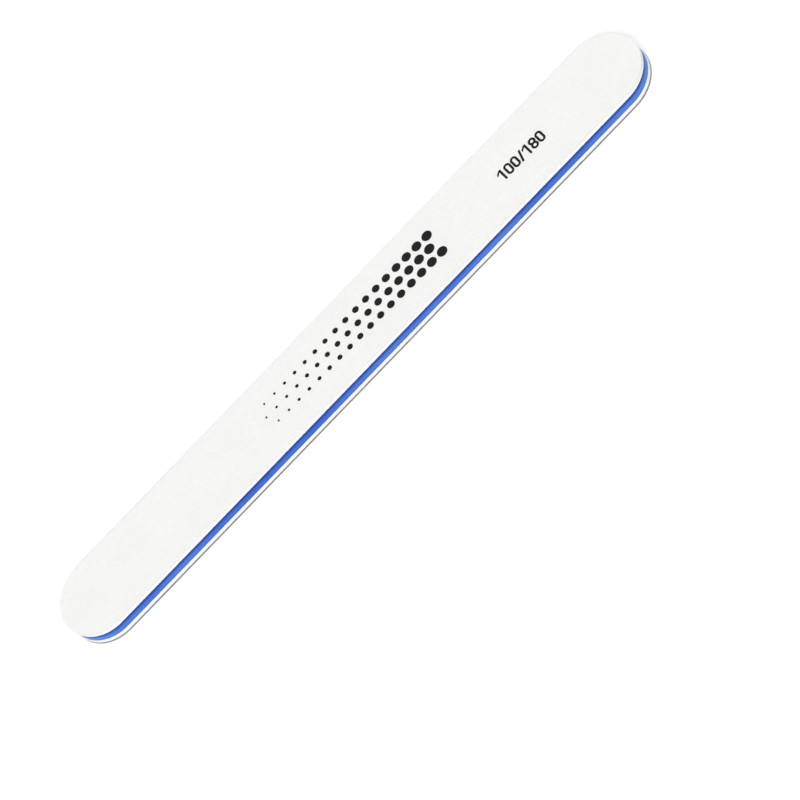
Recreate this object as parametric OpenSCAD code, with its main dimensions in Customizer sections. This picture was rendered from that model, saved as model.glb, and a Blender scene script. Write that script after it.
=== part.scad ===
// A two-sided straight nail board: two abrasive sheets on foam pads, bonded to a stiff blue core.
// The board lies flat. Its long axis is X, its thickness is Z, and the origin is the centre of its underside.

/* [Board] */
// Overall length, tip to tip
board_length = 178; // [152:1:240]
// Overall width; the tips are full rounds of this diameter
board_width = 20; // [14:0.5:35]

/* [Core] */
// Thickness of the stiff plastic core
core_thickness = 2.4; // [0.6:0.1:4]
// How far the core's edge sits inside the cut edge of the board
core_inset = 0.12; // [0:0.02:0.4]

/* [Foam pads] */
// Thickness of each foam pad
foam_thickness = 0.88; // [0.5:0.02:3]

/* [Adhesive films] */
// Thickness of each adhesive film
film_thickness = 0.06; // [0.04:0.01:0.2]
// How far a film's edge sits inside the cut edge of the board
film_inset = 0.2; // [0.05:0.05:0.6]

/* [Abrasive sheets] */
// Thickness of the backing paper
paper_thickness = 0.22; // [0.1:0.02:0.5]
// Thickness of the resin bond coat that holds the grain
bond_thickness = 0.04; // [0.02:0.01:0.1]
// Depth of the coarse grain layer, on the upper face
coarse_grain_depth = 0.16; // [0.1:0.01:0.4]
// Depth of the fine grain layer, on the underside
fine_grain_depth = 0.12; // [0.06:0.01:0.3]

/* [Printed marks] */
// Thickness of the ink
ink_thickness = 0.03; // [0.02:0.005:0.06]
// Height of the digits
digit_height = 3.3; // [2.6:0.1:5]
// Width of the digits' strokes
digit_stroke = 0.55; // [0.2:0.05:0.55]
// Distance from the board's right-hand tip to the middle of the grit numbers
number_margin = 34.8; // [20:0.2:37]
// Distance from the board's centre line to the middle of the grit numbers
number_y = -0.4; // [-4:0.1:4]
// Distance from the board's middle to the middle of the dots, along the board
dots_x = 1; // [-10:0.5:1]
// Columns of dots
dot_columns = 17; // [5:1:17]
// Spacing of the dots, along the board and across it
dot_pitch = 3.2; // [2.8:0.1:3.2]
// Radius of the coarsest dots
dot_radius_coarse = 1.3; // [0.6:0.05:1.35]
// Radius of the finest dots
dot_radius_fine = 0.25; // [0.2:0.05:0.5]

/* [Hidden] */
$fn = 96;

// Heights of the layers, from the underside up
bottom_bond_z = fine_grain_depth;
bottom_paper_z = bottom_bond_z + bond_thickness;
bottom_film_z = bottom_paper_z + paper_thickness;
bottom_foam_z = bottom_film_z + film_thickness;
lower_film_z = bottom_foam_z + foam_thickness;
core_z = lower_film_z + film_thickness;
upper_film_z = core_z + core_thickness;
top_foam_z = upper_film_z + film_thickness;
top_film_z = top_foam_z + foam_thickness;
top_paper_z = top_film_z + film_thickness;
top_bond_z = top_paper_z + paper_thickness;
top_grain_z = top_bond_z + bond_thickness;
ink_z = top_grain_z + coarse_grain_depth;

// Proportions of the digits
digit_width = 0.56 * digit_height;
digit_gap = 0.06 * digit_height;
digit_advance = digit_width + digit_gap;
slash_lean = 0.28 * digit_height;
slash_squeeze = 0.08 * digit_height;
flag_drop = 0.22 * digit_height;
grit_marks = ["1", "0", "0", "/", "1", "8", "0"];
middle_mark = (len(grit_marks) - 1) / 2;
number_x = board_length / 2 - number_margin;

// The marks on each side of the slash, which is the middle one, close up to it
function mark_x(place) =
    number_x + (place - middle_mark) * digit_advance - sign(place - middle_mark) * slash_squeeze;

// Dots: three staggered rows, fine at the left and coarse at the right
dot_rows = [-1, 0, 1];
middle_column = (dot_columns - 1) / 2;

function dot_radius(column) =
    dot_radius_fine + (dot_radius_coarse - dot_radius_fine) * column / (dot_columns - 1);
function dot_place(column, row) =
    [dots_x + (column - middle_column + (abs(row) - 0.5) / 2) * dot_pitch, row * dot_pitch, ink_z];

// The board's outline, drawn in by an inset: a straight board with full-round tips
module board_outline(inset = 0) {
    tip_radius = board_width / 2 - inset;
    tip_x = board_length / 2 - board_width / 2;
    square([2 * tip_x, 2 * tip_radius], center = true);
    for (side = [-1, 1]) translate([side * tip_x, 0]) circle(r = tip_radius);
}

// One flat layer of the board
module layer(z, thickness, inset = 0) {
    translate([0, 0, z]) linear_extrude(thickness) board_outline(inset);
}

// An upright loop with round ends, drawn as a stroke
module loop(width, height) {
    difference() {
        pill(width, height);
        pill(width - 2 * digit_stroke, height - 2 * digit_stroke);
    }
}

module pill(width, height) {
    reach = (height - width) / 2;
    square([width, 2 * reach], center = true);
    for (side = [-1, 1]) translate([0, side * reach]) circle(d = width);
}

module digit_zero() {
    loop(digit_width, digit_height);
}

// Two round loops that share a stroke where they meet
module digit_eight() {
    loop_size = (digit_height + digit_stroke) / 2;
    for (side = [-1, 1])
        translate([0, side * (loop_size - digit_stroke) / 2]) difference() {
            circle(d = loop_size);
            circle(d = loop_size - 2 * digit_stroke);
        }
}

module digit_one() {
    translate([0, -digit_height / 2]) square([digit_stroke, digit_height]);
    polygon([
        [digit_stroke, digit_height / 2],
        [0, digit_height / 2],
        [-digit_width / 2, digit_height / 2 - flag_drop],
        [-digit_width / 2, digit_height / 2 - flag_drop - digit_stroke],
        [0, digit_height / 2 - digit_stroke]
    ]);
}

module slash() {
    polygon([
        [-slash_lean / 2 - digit_stroke / 2, -digit_height / 2],
        [-slash_lean / 2 + digit_stroke / 2, -digit_height / 2],
        [slash_lean / 2 + digit_stroke / 2, digit_height / 2],
        [slash_lean / 2 - digit_stroke / 2, digit_height / 2]
    ]);
}

module mark(sign) {
    if (sign == "0") digit_zero();
    if (sign == "1") digit_one();
    if (sign == "8") digit_eight();
    if (sign == "/") slash();
}

module bottom_abrasive_grain() {
    color("whitesmoke") layer(0, fine_grain_depth);
}

module bottom_bond_coat() {
    color("gainsboro") layer(bottom_bond_z, bond_thickness);
}

module bottom_backing_paper() {
    color("gray") layer(bottom_paper_z, paper_thickness);
}

module bottom_sheet_adhesive() {
    color("lightyellow") layer(bottom_film_z, film_thickness, film_inset);
}

module bottom_foam_pad() {
    color("white") layer(bottom_foam_z, foam_thickness);
}

module lower_core_adhesive() {
    color("lightyellow") layer(lower_film_z, film_thickness, film_inset);
}

module core() {
    color("royalblue") layer(core_z, core_thickness, core_inset);
}

module upper_core_adhesive() {
    color("lightyellow") layer(upper_film_z, film_thickness, film_inset);
}

module top_foam_pad() {
    color("white") layer(top_foam_z, foam_thickness);
}

module top_sheet_adhesive() {
    color("lightyellow") layer(top_film_z, film_thickness, film_inset);
}

module top_backing_paper() {
    color("white") layer(top_paper_z, paper_thickness);
}

module top_bond_coat() {
    color("gainsboro") layer(top_bond_z, bond_thickness);
}

module top_abrasive_grain() {
    color("whitesmoke") layer(top_grain_z, coarse_grain_depth);
}

// The grit of the two faces, as plain numbers
module grit_numbers_print() {
    color("black") for (place = [0 : len(grit_marks) - 1])
        translate([mark_x(place), number_y, ink_z])
            linear_extrude(ink_thickness) mark(grit_marks[place]);
}

// A plain scale of dots that shrink along the board, from coarse to fine
module coarse_to_fine_print() {
    color("black") for (column = [0 : dot_columns - 1], row = dot_rows)
        translate(dot_place(column, row)) cylinder(r = dot_radius(column), h = ink_thickness);
}

bottom_abrasive_grain();
bottom_bond_coat();
bottom_backing_paper();
bottom_sheet_adhesive();
bottom_foam_pad();
lower_core_adhesive();
core();
upper_core_adhesive();
top_foam_pad();
top_sheet_adhesive();
top_backing_paper();
top_bond_coat();
top_abrasive_grain();
grit_numbers_print();
coarse_to_fine_print();
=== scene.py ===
import math

import bpy
import numpy as np
from mathutils import Matrix, Vector


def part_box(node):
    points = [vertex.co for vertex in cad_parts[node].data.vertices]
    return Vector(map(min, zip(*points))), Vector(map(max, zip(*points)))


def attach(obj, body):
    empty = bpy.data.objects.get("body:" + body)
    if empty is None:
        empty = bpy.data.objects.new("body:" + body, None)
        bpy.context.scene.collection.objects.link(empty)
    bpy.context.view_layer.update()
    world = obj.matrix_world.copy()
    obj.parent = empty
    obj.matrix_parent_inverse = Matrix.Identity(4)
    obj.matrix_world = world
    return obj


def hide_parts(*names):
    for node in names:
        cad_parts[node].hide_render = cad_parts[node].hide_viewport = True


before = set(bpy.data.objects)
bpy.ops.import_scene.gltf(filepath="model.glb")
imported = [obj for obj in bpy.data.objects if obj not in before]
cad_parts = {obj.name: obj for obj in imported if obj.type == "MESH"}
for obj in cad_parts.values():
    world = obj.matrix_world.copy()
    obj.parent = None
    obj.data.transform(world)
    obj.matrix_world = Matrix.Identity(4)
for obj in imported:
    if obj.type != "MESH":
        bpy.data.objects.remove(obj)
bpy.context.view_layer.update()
mm = 0.001

boardLow, boardHigh = (Vector(corner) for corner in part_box("top_backing_paper"))
halfLength = (boardHigh.x - boardLow.x) / 2
tipRadius = (boardHigh.y - boardLow.y) / 2
tipCentre = halfLength - tipRadius
straight = 2 * tipCentre
tipArc = math.pi * tipRadius
outlineLength = 2 * (straight + tipArc)


# Shaping

def clearSelection():
    if bpy.context.object and bpy.context.object.mode != "OBJECT":
        bpy.ops.object.mode_set(mode="OBJECT")
    bpy.ops.object.select_all(action="DESELECT")


def activate(piece):
    clearSelection()
    piece.select_set(True)
    bpy.context.view_layer.objects.active = piece


def addPrimitive(adder, name, **size):
    clearSelection()
    adder(**size)
    piece = bpy.context.object
    piece.name = name
    piece.data.name = name
    return piece


def applyPlace(piece):
    activate(piece)
    bpy.ops.object.transform_apply(location=True, rotation=True, scale=True)


def vertexPlaces(piece):
    flat = np.empty(len(piece.data.vertices) * 3)
    piece.data.vertices.foreach_get("co", flat)
    return flat.reshape(-1, 3)


def moveVertices(piece, places):
    piece.data.vertices.foreach_set("co", np.ascontiguousarray(places).ravel())
    piece.data.update()


def faceOutwards(piece, smoothAngle=None):
    activate(piece)
    bpy.ops.object.mode_set(mode="EDIT")
    bpy.ops.mesh.select_all(action="SELECT")
    bpy.ops.mesh.normals_make_consistent(inside=False)
    bpy.ops.object.mode_set(mode="OBJECT")
    if smoothAngle is not None:
        bpy.ops.object.shade_smooth_by_angle(angle=math.radians(smoothAngle))


def softened(field, passes):  # evens out a grid of random numbers
    for _ in range(passes):
        field = (field + np.roll(field, 1, 0) + np.roll(field, 1, 1)) / 3
        field = (field + np.roll(field, -1, 0) + np.roll(field, -1, 1)) / 3
    return field / field.std()


def outlinePoint(along, inset):  # a place on the board's cut edge, by the length along it
    turn = np.clip(along, 0, tipArc) + np.clip(along - tipArc - straight, 0, tipArc)
    angle = turn / tipRadius - math.pi / 2
    centre = tipCentre - np.clip(along - tipArc, 0, straight)
    centre += np.clip(along - 2 * tipArc - straight, 0, straight)
    reach = tipRadius - inset
    return centre + reach * np.cos(angle), reach * np.sin(angle)


def addLayer(name, node, columns, rings, insets):
    # a drum whose wall is cut into rings, then wrapped round the board's outline
    low, high = (Vector(corner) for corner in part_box(node))
    piece = addPrimitive(
        bpy.ops.mesh.primitive_cylinder_add, name, vertices=columns, radius=1, depth=2, end_fill_type="NGON"
    )
    bpy.ops.object.mode_set(mode="EDIT")
    bpy.ops.mesh.select_all(action="DESELECT")
    bpy.ops.object.mode_set(mode="OBJECT")
    for edge in piece.data.edges:
        first, second = (piece.data.vertices[index].co for index in edge.vertices)
        edge.select = abs(first.z - second.z) > 1
    bpy.ops.object.mode_set(mode="EDIT")
    bpy.ops.mesh.select_mode(type="EDGE")
    bpy.ops.mesh.subdivide(number_cuts=rings - 2)
    bpy.ops.object.mode_set(mode="OBJECT")
    places = vertexPlaces(piece)
    column = np.rint(np.arctan2(places[:, 1], places[:, 0]) / (2 * math.pi) * columns).astype(int) % columns
    ring = np.rint((places[:, 2] + 1) / 2 * (rings - 1)).astype(int)
    x, y = outlinePoint(column / columns * outlineLength, insets[column, ring])
    z = low.z + (high.z - low.z) * ring / (rings - 1)
    moveVertices(piece, np.column_stack([x, y, z]))
    return piece


# Abrasive sheets: relief at the size of the grain, with a rolled rim

def sheetRows(share):  # rows lie closer together at the board's two long edges
    return tipRadius * (0.6 * share + 0.4 * np.sin(share * math.pi / 2))


def addAbrasiveSheet(name, node, look):
    low, high = (Vector(corner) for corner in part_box(node))
    piece = addPrimitive(
        bpy.ops.mesh.primitive_grid_add, name,
        x_subdivisions=look["columns"], y_subdivisions=look["rows"], size=2,
    )
    bpy.ops.object.mode_set(mode="EDIT")
    bpy.ops.mesh.select_mode(type="EDGE")
    bpy.ops.mesh.select_all(action="SELECT")
    bpy.ops.mesh.region_to_loop()
    for _ in range(look["wallRings"]):
        bpy.ops.mesh.extrude_region_move(TRANSFORM_OT_translate={"value": (0, 0, -1)})
    bpy.ops.mesh.edge_face_add()
    bpy.ops.object.mode_set(mode="OBJECT")
    places = vertexPlaces(piece)
    column = np.rint((places[:, 0] + 1) / 2 * look["columns"]).astype(int)
    row = np.rint((places[:, 1] + 1) / 2 * look["rows"]).astype(int)
    depth = -places[:, 2] / look["wallRings"]
    y = sheetRows(places[:, 1])
    reach = tipCentre + np.sqrt(np.maximum(tipRadius ** 2 - y ** 2, 0))
    x = places[:, 0] * reach
    random = np.random.default_rng(look["seed"])
    grain = softened(random.normal(size=(look["columns"] + 1, look["rows"] + 1)), look["soften"])
    grain = np.clip(grain, -2.2, 2.2)[column, row] * look["relief"]
    over = np.maximum(np.abs(x) - tipCentre, 0)
    fromEdge = tipRadius - np.hypot(over, y)
    roll = look["rollDrop"] * np.clip(1 - fromEdge / look["rollWidth"], 0, 1) ** 2
    face = look["recess"] - grain + roll
    thickness = high.z - low.z
    down = np.where(depth > 0.01, face + (thickness - face) * depth, face)
    z = high.z - down if look["faceUp"] else low.z + down
    moveVertices(piece, np.column_stack([x, y, z]))
    faceOutwards(piece, look["smoothAngle"])
    return piece


coarseSheet = {
    "columns": 840, "rows": 100, "wallRings": 3, "seed": 100, "soften": 0, "relief": 0.011 * mm,
    "recess": 0.03 * mm, "rollDrop": 0.035 * mm, "rollWidth": 0.35 * mm, "faceUp": True, "smoothAngle": 60,
}
fineSheet = {
    "columns": 840, "rows": 100, "wallRings": 3, "seed": 180, "soften": 0, "relief": 0.006 * mm,
    "recess": 0.016 * mm, "rollDrop": 0.03 * mm, "rollWidth": 0.3 * mm, "faceUp": False, "smoothAngle": 60,
}
topSheet = addAbrasiveSheet("top_abrasive_sheet", "top_abrasive_grain", coarseSheet)
bottomSheet = addAbrasiveSheet("bottom_abrasive_sheet", "bottom_abrasive_grain", fineSheet)
print("abrasive sheets done")


# Foam pads: a die-cut edge, swollen a little between its glued faces, with open pores

foamPad = {
    "columns": 2000, "rings": 15, "poreRounding": 3, "swell": 0.05 * mm, "base": 0.02 * mm,
    "poreDepth": 0.08 * mm, "poreLevel": 1.2, "skin": 0.006 * mm,
}


def addFoamPad(name, node, seed):
    look = foamPad
    random = np.random.default_rng(seed)
    share = np.linspace(-1, 1, look["rings"])
    insets = look["base"] + look["swell"] * share ** 2
    insets = np.tile(insets, (look["columns"], 1))
    cells = random.normal(size=insets.shape)
    for _ in range(look["poreRounding"]):  # a ring is thinner than a column is wide
        cells = (cells + np.roll(cells, 1, 1) + np.roll(cells, -1, 1)) / 3
    cells = softened(cells, 0)
    insets += look["poreDepth"] * np.clip(cells - look["poreLevel"], 0, 1)
    insets += look["skin"] * random.normal(size=insets.shape)
    pad = addLayer(name, node, look["columns"], look["rings"], np.maximum(insets, 0))
    faceOutwards(pad, 50)
    return pad


topPad = addFoamPad("top_foam_pad_cut_edge", "top_foam_pad", 21)
bottomPad = addFoamPad("bottom_foam_pad_cut_edge", "bottom_foam_pad", 22)
print("foam pads done")


# Core: a blue plastic strip with broken corners and a chattered saw cut round its edge

coreStrip = {
    "columns": 1500, "rings": 13, "inset": 0.12 * mm, "corner": 0.09 * mm,
    "chatterPitch": 1.7 * mm, "chatter": 0.010 * mm, "score": 0.006 * mm,
}


def addCore():
    look = coreStrip
    random = np.random.default_rng(5)
    along = np.arange(look["columns"]) / look["columns"] * outlineLength
    share = np.abs(np.linspace(-1, 1, look["rings"]))
    corner = look["corner"] * np.clip((share - 0.82) / 0.18, 0, 1) ** 2
    chatter = look["chatter"] * (1 + np.sin(2 * math.pi * np.rint(outlineLength / look["chatterPitch"])
                                            * along / outlineLength))
    score = look["score"] * np.abs(softened(random.normal(size=(look["columns"], look["rings"])), 0))
    insets = look["inset"] + corner[None, :] + chatter[:, None] + score
    strip = addLayer("core_strip", "core", look["columns"], look["rings"], insets)
    faceOutwards(strip, 40)
    return strip


core = addCore()
print("core done")


# Finishes

class Signal:  # a number, place or colour on its way through a finish
    def __init__(self, finish, socket):
        self.finish = finish
        self.socket = socket

    def __add__(self, other):
        return self.finish.maths("ADD", self, other)

    def __sub__(self, other):
        return self.finish.maths("SUBTRACT", self, other)

    def __rsub__(self, other):
        return self.finish.maths("SUBTRACT", other, self)

    def __mul__(self, other):
        return self.finish.maths("MULTIPLY", self, other)

    def __truediv__(self, other):
        return self.finish.maths("DIVIDE", self, other)

    def __pow__(self, other):
        return self.finish.maths("POWER", self, other)

    def __abs__(self):
        return self.finish.maths("ABSOLUTE", self)

    __radd__ = __add__
    __rmul__ = __mul__


class Finish:  # one procedural material
    def __init__(self, name, **constants):
        self.material = bpy.data.materials.new(name)
        self.material.use_nodes = True
        self.tree = self.material.node_tree
        self.shader = self.tree.nodes["Principled BSDF"]
        for word, value in constants.items():
            self.shader.inputs[word.replace("_", " ")].default_value = value
        self.place = self.signal("ShaderNodeTexCoord", "Object")
        parts = self.node("ShaderNodeSeparateXYZ", {}, {"Vector": self.place})
        self.x, self.y, self.z = (Signal(self, parts.outputs[word]) for word in "XYZ")

    def node(self, kind, settings, inputs):
        made = self.tree.nodes.new(kind)
        for word, value in settings.items():
            setattr(made, word, value)
        for word, value in inputs.items():
            self.join(made.inputs[word], value)
        return made

    def join(self, socket, value):
        if isinstance(value, Signal):
            self.tree.links.new(value.socket, socket)
        else:
            socket.default_value = value

    def signal(self, kind, output, settings=None, inputs=None):
        return Signal(self, self.node(kind, settings or {}, inputs or {}).outputs[output])

    def maths(self, how, first, second=0.0):
        return self.signal("ShaderNodeMath", 0, {"operation": how}, {0: first, 1: second})

    def noise(self, size, detail=2.0, place=None):
        words = {"Vector": place or self.place, "Scale": 1 / size, "Detail": detail, "Roughness": 0.6}
        return self.signal("ShaderNodeTexNoise", 0, {}, words)

    def cells(self, size, place=None):
        words = {"Vector": place or self.place, "Scale": 1 / size}
        return self.node("ShaderNodeTexVoronoi", {}, words)

    def ramp(self, value, start, end, low=0.0, high=1.0):
        words = {"Value": value, "From Min": start, "From Max": end, "To Min": low, "To Max": high}
        return self.signal("ShaderNodeMapRange", 0, {"clamp": True}, words)

    def mix(self, amount, first, second):
        words = {0: amount, 6: self.opaque(first), 7: self.opaque(second)}
        return self.signal("ShaderNodeMix", 2, {"data_type": "RGBA"}, words)

    def opaque(self, colour):
        return colour if isinstance(colour, Signal) else (*colour, 1.0)

    def stretched(self, x, y, z):
        words = {"Vector": self.place, "Scale": (x, y, z)}
        return self.signal("ShaderNodeMapping", 0, {}, words)

    def fromEdge(self):  # the distance in from the board's cut edge
        over = self.maths("MAXIMUM", abs(self.x) - tipCentre, 0.0)
        return tipRadius - self.maths("SQRT", over * over + self.y * self.y)

    def finishWith(self, colour, roughness, height, depth, strength=1.0):
        self.join(self.shader.inputs["Base Color"], colour)
        self.join(self.shader.inputs["Roughness"], roughness)
        words = {"Height": height, "Distance": depth, "Strength": strength}
        self.join(self.shader.inputs["Normal"], self.signal("ShaderNodeBump", "Normal", {}, words))
        return self.material


def makeGrain(name, grainSize, tone, speck, edgeShadeTone, edgeShadeWidth):
    finish = Finish(name, Specular_IOR_Level=0.35)
    grit = finish.cells(grainSize)
    lump = Signal(finish, grit.outputs["Distance"])
    facet = finish.signal("ShaderNodeSeparateColor", 0, {}, {"Color": Signal(finish, grit.outputs["Color"])})
    cloud = finish.noise(9 * mm, 3.0)
    fleck = finish.noise(0.45 * mm, 2.0)
    tone = finish.mix(finish.ramp(cloud, 0.35, 0.65), tone, [part * 0.975 for part in tone])
    tone = finish.mix(finish.ramp(fleck, 0.56, 0.72, 0.0, 0.55), tone, speck)
    tone = finish.mix(finish.ramp(facet, 0.0, 1.0, 0.0, 0.22), tone, speck)
    # Painted shade: the grain's colour darkens to the edge tone in a narrow band at the board's cut edge, standing in
    # for the shade where the rim rolls down.
    edgeShade = finish.ramp(finish.fromEdge(), edgeShadeWidth * 0.4, edgeShadeWidth, 1.0, 0.0)
    tone = finish.mix(edgeShade, tone, edgeShadeTone)
    roughness = finish.ramp(facet, 0.93, 0.97, 0.72, 0.22)
    height = finish.ramp(lump, 0.0, 0.7, 1.0, 0.0) + facet * 0.5
    return finish.finishWith(tone, roughness, height, grainSize * 0.22, 0.7)


def makeFoam():
    finish = Finish("white_foam", Specular_IOR_Level=0.25)
    bubbles = finish.cells(0.16 * mm)
    wall = Signal(finish, bubbles.outputs["Distance"])
    pore = finish.ramp(wall, 0.05, 0.35, 1.0, 0.0)
    spread = finish.noise(0.7 * mm, 2.0)
    depth = pore * finish.ramp(spread, 0.42, 0.66)
    # Painted shade: the foam's colour darkens to grey inside the pores, where shade falls.
    tone = finish.mix(depth * 0.5, (0.962, 0.962, 0.958), (0.83, 0.84, 0.85))
    roughness = finish.ramp(spread, 0.3, 0.7, 0.75, 0.92)
    return finish.finishWith(tone, roughness, depth * -1.0, 0.05 * mm, 0.6)


def makePaper(name, tone, fibre):
    finish = Finish(name, Specular_IOR_Level=0.3)
    strands = finish.noise(0.08 * mm, 3.0, finish.stretched(0.12, 0.12, 1.0))
    blotch = finish.noise(2.5 * mm, 2.0)
    mixed = finish.mix(finish.ramp(strands, 0.4, 0.7, 0.0, 0.8), tone, fibre)
    mixed = finish.mix(finish.ramp(blotch, 0.4, 0.7, 0.0, 0.35), mixed, fibre)
    return finish.finishWith(mixed, finish.ramp(strands, 0.3, 0.7, 0.7, 0.95), strands, 0.02 * mm, 0.6)


def makeCoat(name, tone, shade, low, high):
    finish = Finish(name, Specular_IOR_Level=0.5)
    flow = finish.noise(1.3 * mm, 3.0)
    fine = finish.noise(0.12 * mm, 2.0)
    mixed = finish.mix(finish.ramp(flow, 0.35, 0.7), tone, shade)
    return finish.finishWith(mixed, finish.ramp(flow, 0.3, 0.7, low, high), fine, 0.01 * mm, 0.5)


def makeBlue():
    finish = Finish("blue_core_plastic", Specular_IOR_Level=0.25)
    low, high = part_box("core")
    middle = (low[2] + high[2]) / 2
    half = (high[2] - low[2]) / 2
    up = (finish.z - middle) / half
    drag = finish.noise(0.22 * mm, 3.0, finish.stretched(1.0, 1.0, 0.12))
    layerLine = finish.noise(0.11 * mm, 2.0, finish.stretched(0.03, 0.03, 1.0))
    bloom = finish.noise(26 * mm, 2.0)
    tone = finish.mix(finish.ramp(bloom, 0.38, 0.66), (0.030, 0.128, 0.630), (0.066, 0.195, 0.690))
    # Painted highlight: the core's blue is lighter towards the two rounded tips, where the light falls more fully on
    # the curved edge.
    tone = finish.mix(finish.ramp(abs(finish.x), tipCentre - 8 * mm, halfLength, 0.0, 0.8), tone, (0.075, 0.245, 0.750))
    tone = finish.mix(finish.ramp(drag, 0.5, 0.75, 0.0, 0.4), tone, (0.11, 0.26, 0.78))
    # Painted shade: the upper half of the core's edge darkens towards deep blue, standing in for the shade under the
    # overhanging top foam pad.
    tone = finish.mix(finish.ramp(up, 0.0, 0.75, 0.0, 1.0), tone, (0.006, 0.032, 0.235))
    # Painted shade: the lowest part of the core's edge is darker as well, standing in for the shade in the recess above
    # the bottom foam pad.
    tone = finish.mix(finish.ramp(up, -0.6, -1.0, 0.0, 0.8), tone, (0.026, 0.095, 0.450))
    scratch = drag * 0.7 + layerLine * 0.3
    return finish.finishWith(tone, finish.ramp(drag, 0.3, 0.7, 0.34, 0.55), scratch, 0.012 * mm, 0.6)


def makeInk():
    finish = Finish("black_ink", Specular_IOR_Level=0.12)
    grit = finish.noise(0.13 * mm, 2.0)
    patch = finish.noise(1.1 * mm, 2.0)
    bare = finish.ramp(grit + patch * 0.35, 0.86, 0.98, 0.0, 0.6)
    tone = finish.mix(bare, (0.008, 0.008, 0.009), (0.34, 0.34, 0.33))
    return finish.finishWith(tone, finish.ramp(grit, 0.3, 0.7, 0.55, 0.8), grit, 0.02 * mm, 0.6)


# Painted shade: a faint grey band along the coarse face's edge.
coarseGrain = makeGrain("coarse_white_grain", 0.16 * mm, (0.915, 0.918, 0.900), (0.79, 0.79, 0.77),
                        (0.83, 0.83, 0.815), 0.14 * mm)
# Painted shade: the fine face's edge is dark grey, making a dark line along the bottom of the board where shade falls.
fineGrain = makeGrain("fine_white_grain", 0.09 * mm, (0.895, 0.897, 0.885), (0.79, 0.79, 0.77),
                      (0.26, 0.26, 0.27), 0.10 * mm)
foam = makeFoam()
whitePaper = makePaper("white_backing_paper", (0.935, 0.935, 0.925), (0.85, 0.85, 0.83))
# Painted shade: the bottom backing paper is dark grey so that its thin cut edge makes a dark line along the bottom of
# the board, where shade falls.
bottomShadePaper = makePaper("grey_backing_paper", (0.20, 0.20, 0.21), (0.30, 0.30, 0.31))
paleCoat = makeCoat("pale_bond_resin", (0.86, 0.855, 0.83), (0.78, 0.77, 0.73), 0.3, 0.55)
# Painted shade: the bottom bond resin is dark grey for the same dark line along the bottom edge.
bottomShadeCoat = makeCoat("painted_shade_bond_resin", (0.27, 0.27, 0.28), (0.20, 0.20, 0.21), 0.3, 0.55)
adhesive = makeCoat("adhesive_film", (0.88, 0.87, 0.82), (0.80, 0.79, 0.72), 0.2, 0.45)
blue = makeBlue()
ink = makeInk()


def paint(piece, material):
    piece.data.materials.clear()
    piece.data.materials.append(material)


pieceFinishes = (
    (topSheet, coarseGrain, "coarse_grain", "top_abrasive_grain"),
    (bottomSheet, fineGrain, "fine_grain", "bottom_abrasive_grain"),
    (topPad, foam, "foam", "top_foam_pad"),
    (bottomPad, foam, "foam", "bottom_foam_pad"),
    (core, blue, "blue_core", "core"),
)
for piece, material, slot, node in pieceFinishes:
    paint(piece, material)
    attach(piece, "root")
    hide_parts(node)

nodeFinishes = {
    "bottom_bond_coat": bottomShadeCoat,
    "bottom_backing_paper": bottomShadePaper,
    "bottom_sheet_adhesive": adhesive,
    "lower_core_adhesive": adhesive,
    "upper_core_adhesive": adhesive,
    "top_sheet_adhesive": adhesive,
    "top_backing_paper": whitePaper,
    "top_bond_coat": paleCoat,
    "grit_numbers_print": ink,
    "coarse_to_fine_print": ink,
}
for node, material in nodeFinishes.items():
    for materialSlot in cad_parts[node].material_slots:
        materialSlot.material = material
print("finishes done")


# Floor, light and camera

studio = {"floorSize": 8.0, "floorDrop": 0.02 * mm, "floorGlow": 0.3, "skyLevel": 0.55}


def addFloor():
    floor = addPrimitive(
        bpy.ops.mesh.primitive_plane_add, "floor", size=studio["floorSize"], location=(0, 0, -studio["floorDrop"])
    )
    applyPlace(floor)
    finish = Finish("pale_floor", Roughness=0.9, Specular_IOR_Level=0.0)
    finish.shader.inputs["Base Color"].default_value = (0.8, 0.8, 0.8, 1)
    finish.shader.inputs["Emission Color"].default_value = (1, 1, 1, 1)
    rays = finish.node("ShaderNodeLightPath", {}, {})
    seen = Signal(finish, rays.outputs["Is Camera Ray"])
    seen = seen + Signal(finish, rays.outputs["Is Glossy Ray"])
    seen = seen + Signal(finish, rays.outputs["Is Transmission Ray"])
    glow = finish.maths("MINIMUM", seen, 1.0) * studio["floorGlow"]
    finish.join(finish.shader.inputs["Emission Strength"], glow)
    paint(floor, finish.material)


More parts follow.
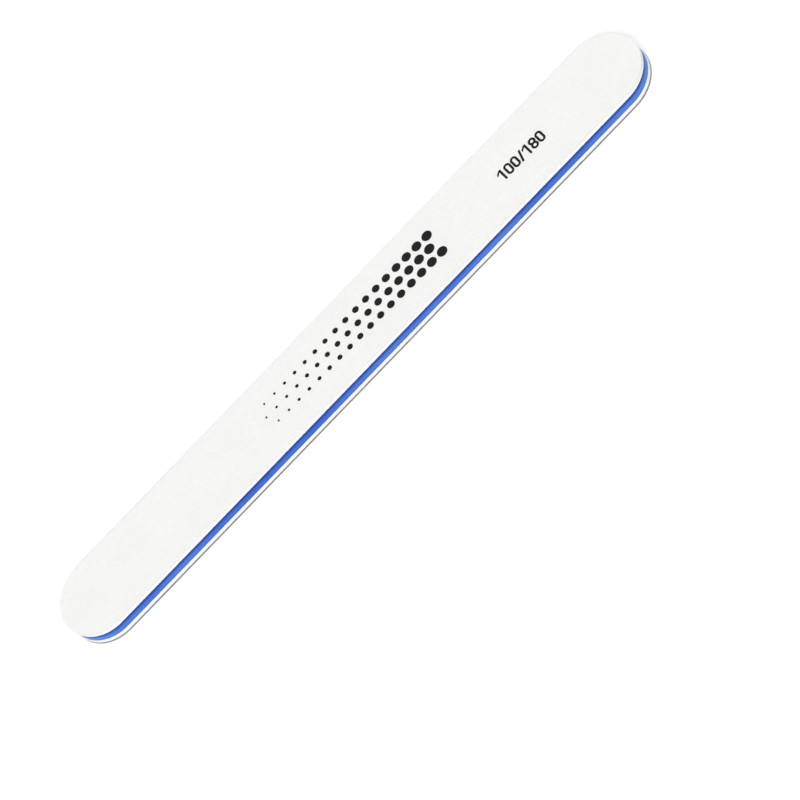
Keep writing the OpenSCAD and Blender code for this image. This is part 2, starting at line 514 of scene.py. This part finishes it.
def addSky():
    sky = bpy.data.worlds.new("studio")
    bpy.context.scene.world = sky
    sky.use_nodes = True
    tree = sky.node_tree
    back = tree.nodes["Background"]
    rays = tree.nodes.new("ShaderNodeLightPath")
    seen = rays.outputs["Is Camera Ray"]
    for word in ("Is Glossy Ray", "Is Transmission Ray"):
        either = tree.nodes.new("ShaderNodeMath")
        either.operation = "MAXIMUM"
        tree.links.new(seen, either.inputs[0])
        tree.links.new(rays.outputs[word], either.inputs[1])
        seen = either.outputs[0]
    level = tree.nodes.new("ShaderNodeMapRange")
    level.inputs["To Min"].default_value = studio["skyLevel"]
    level.inputs["To Max"].default_value = 1.0
    tree.links.new(seen, level.inputs["Value"])
    tree.links.new(level.outputs[0], back.inputs["Strength"])
    back.inputs["Color"].default_value = (1, 1, 1, 1)


def addLamp(name, towards, level, spread):
    clearSelection()
    bpy.ops.object.light_add(type="SUN")
    lamp = bpy.context.object
    lamp.name = name
    lamp.data.energy = level
    lamp.data.angle = math.radians(spread)
    lamp.rotation_euler = Vector(towards).to_track_quat("Z", "Y").to_euler()


def addCamera():
    azimuth, elevation, roll = (math.radians(turn) for turn in (5.17, 49.55, -49.86))
    target = Vector((-1.79, -19.70, 0.1)) * mm
    back = Vector((
        math.sin(azimuth) * math.cos(elevation),
        -math.cos(azimuth) * math.cos(elevation),
        math.sin(elevation),
    ))
    level = (-back).cross(Vector((0, 0, 1))).normalized()
    upright = level.cross(-back)
    right = level * math.cos(roll) + upright * math.sin(roll)
    up = upright * math.cos(roll) - level * math.sin(roll)
    clearSelection()
    bpy.ops.object.camera_add()
    camera = bpy.context.object
    camera.matrix_world = Matrix.Translation(target + back * 733 * mm) @ Matrix((right, up, back)).transposed().to_4x4()
    camera.data.lens = 153
    camera.data.sensor_width = 36
    camera.data.clip_start = 0.01
    bpy.context.scene.camera = camera


addFloor()
addSky()
addLamp("key_light", (-0.25, -0.8, 0.95), 1.68, 40)
addLamp("fill_light", (0.5, 0.8, 0.7), 0.5, 60)
addCamera()
bpy.context.scene.view_settings.view_transform = "Standard"
